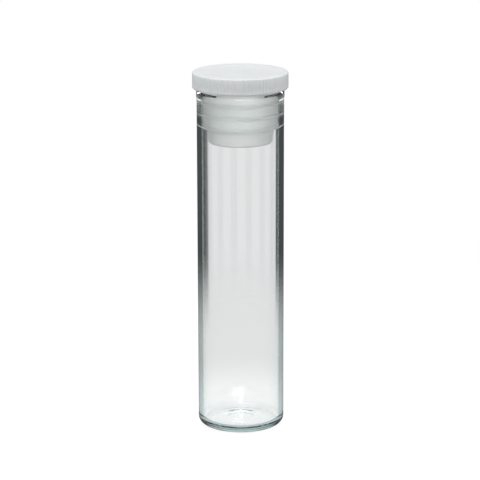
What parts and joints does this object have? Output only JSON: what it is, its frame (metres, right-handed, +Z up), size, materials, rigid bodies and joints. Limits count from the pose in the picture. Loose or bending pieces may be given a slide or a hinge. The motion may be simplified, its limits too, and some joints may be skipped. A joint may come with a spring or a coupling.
{
  "type": "glass sample vial",
  "caption": "Straight flat-bottomed glass tube closed by a ribbed hollow plastic stopper that pulls out of its mouth.",
  "frame": {"origin": "centre of the vial at the level of its foot", "axes": "+Z up the vial's axis, from the foot to the stopper; X and Y are equal"},
  "size_m": [0.0274, 0.0274, 0.1047],
  "materials": {
    "glass": "clear, fire polished",
    "stopper_plastic": "milky, translucent, satin"
  },
  "bodies": {
    "tube": {"glass_tube": "glass"},
    "cap": {"stopper": "stopper_plastic"}
  },
  "joints": [
    {"name": "stopper_pull", "type": "slide", "parent": "tube", "child": "cap", "axis": [0, 0, 1], "range_m": [0, 0.04]}
  ]
}
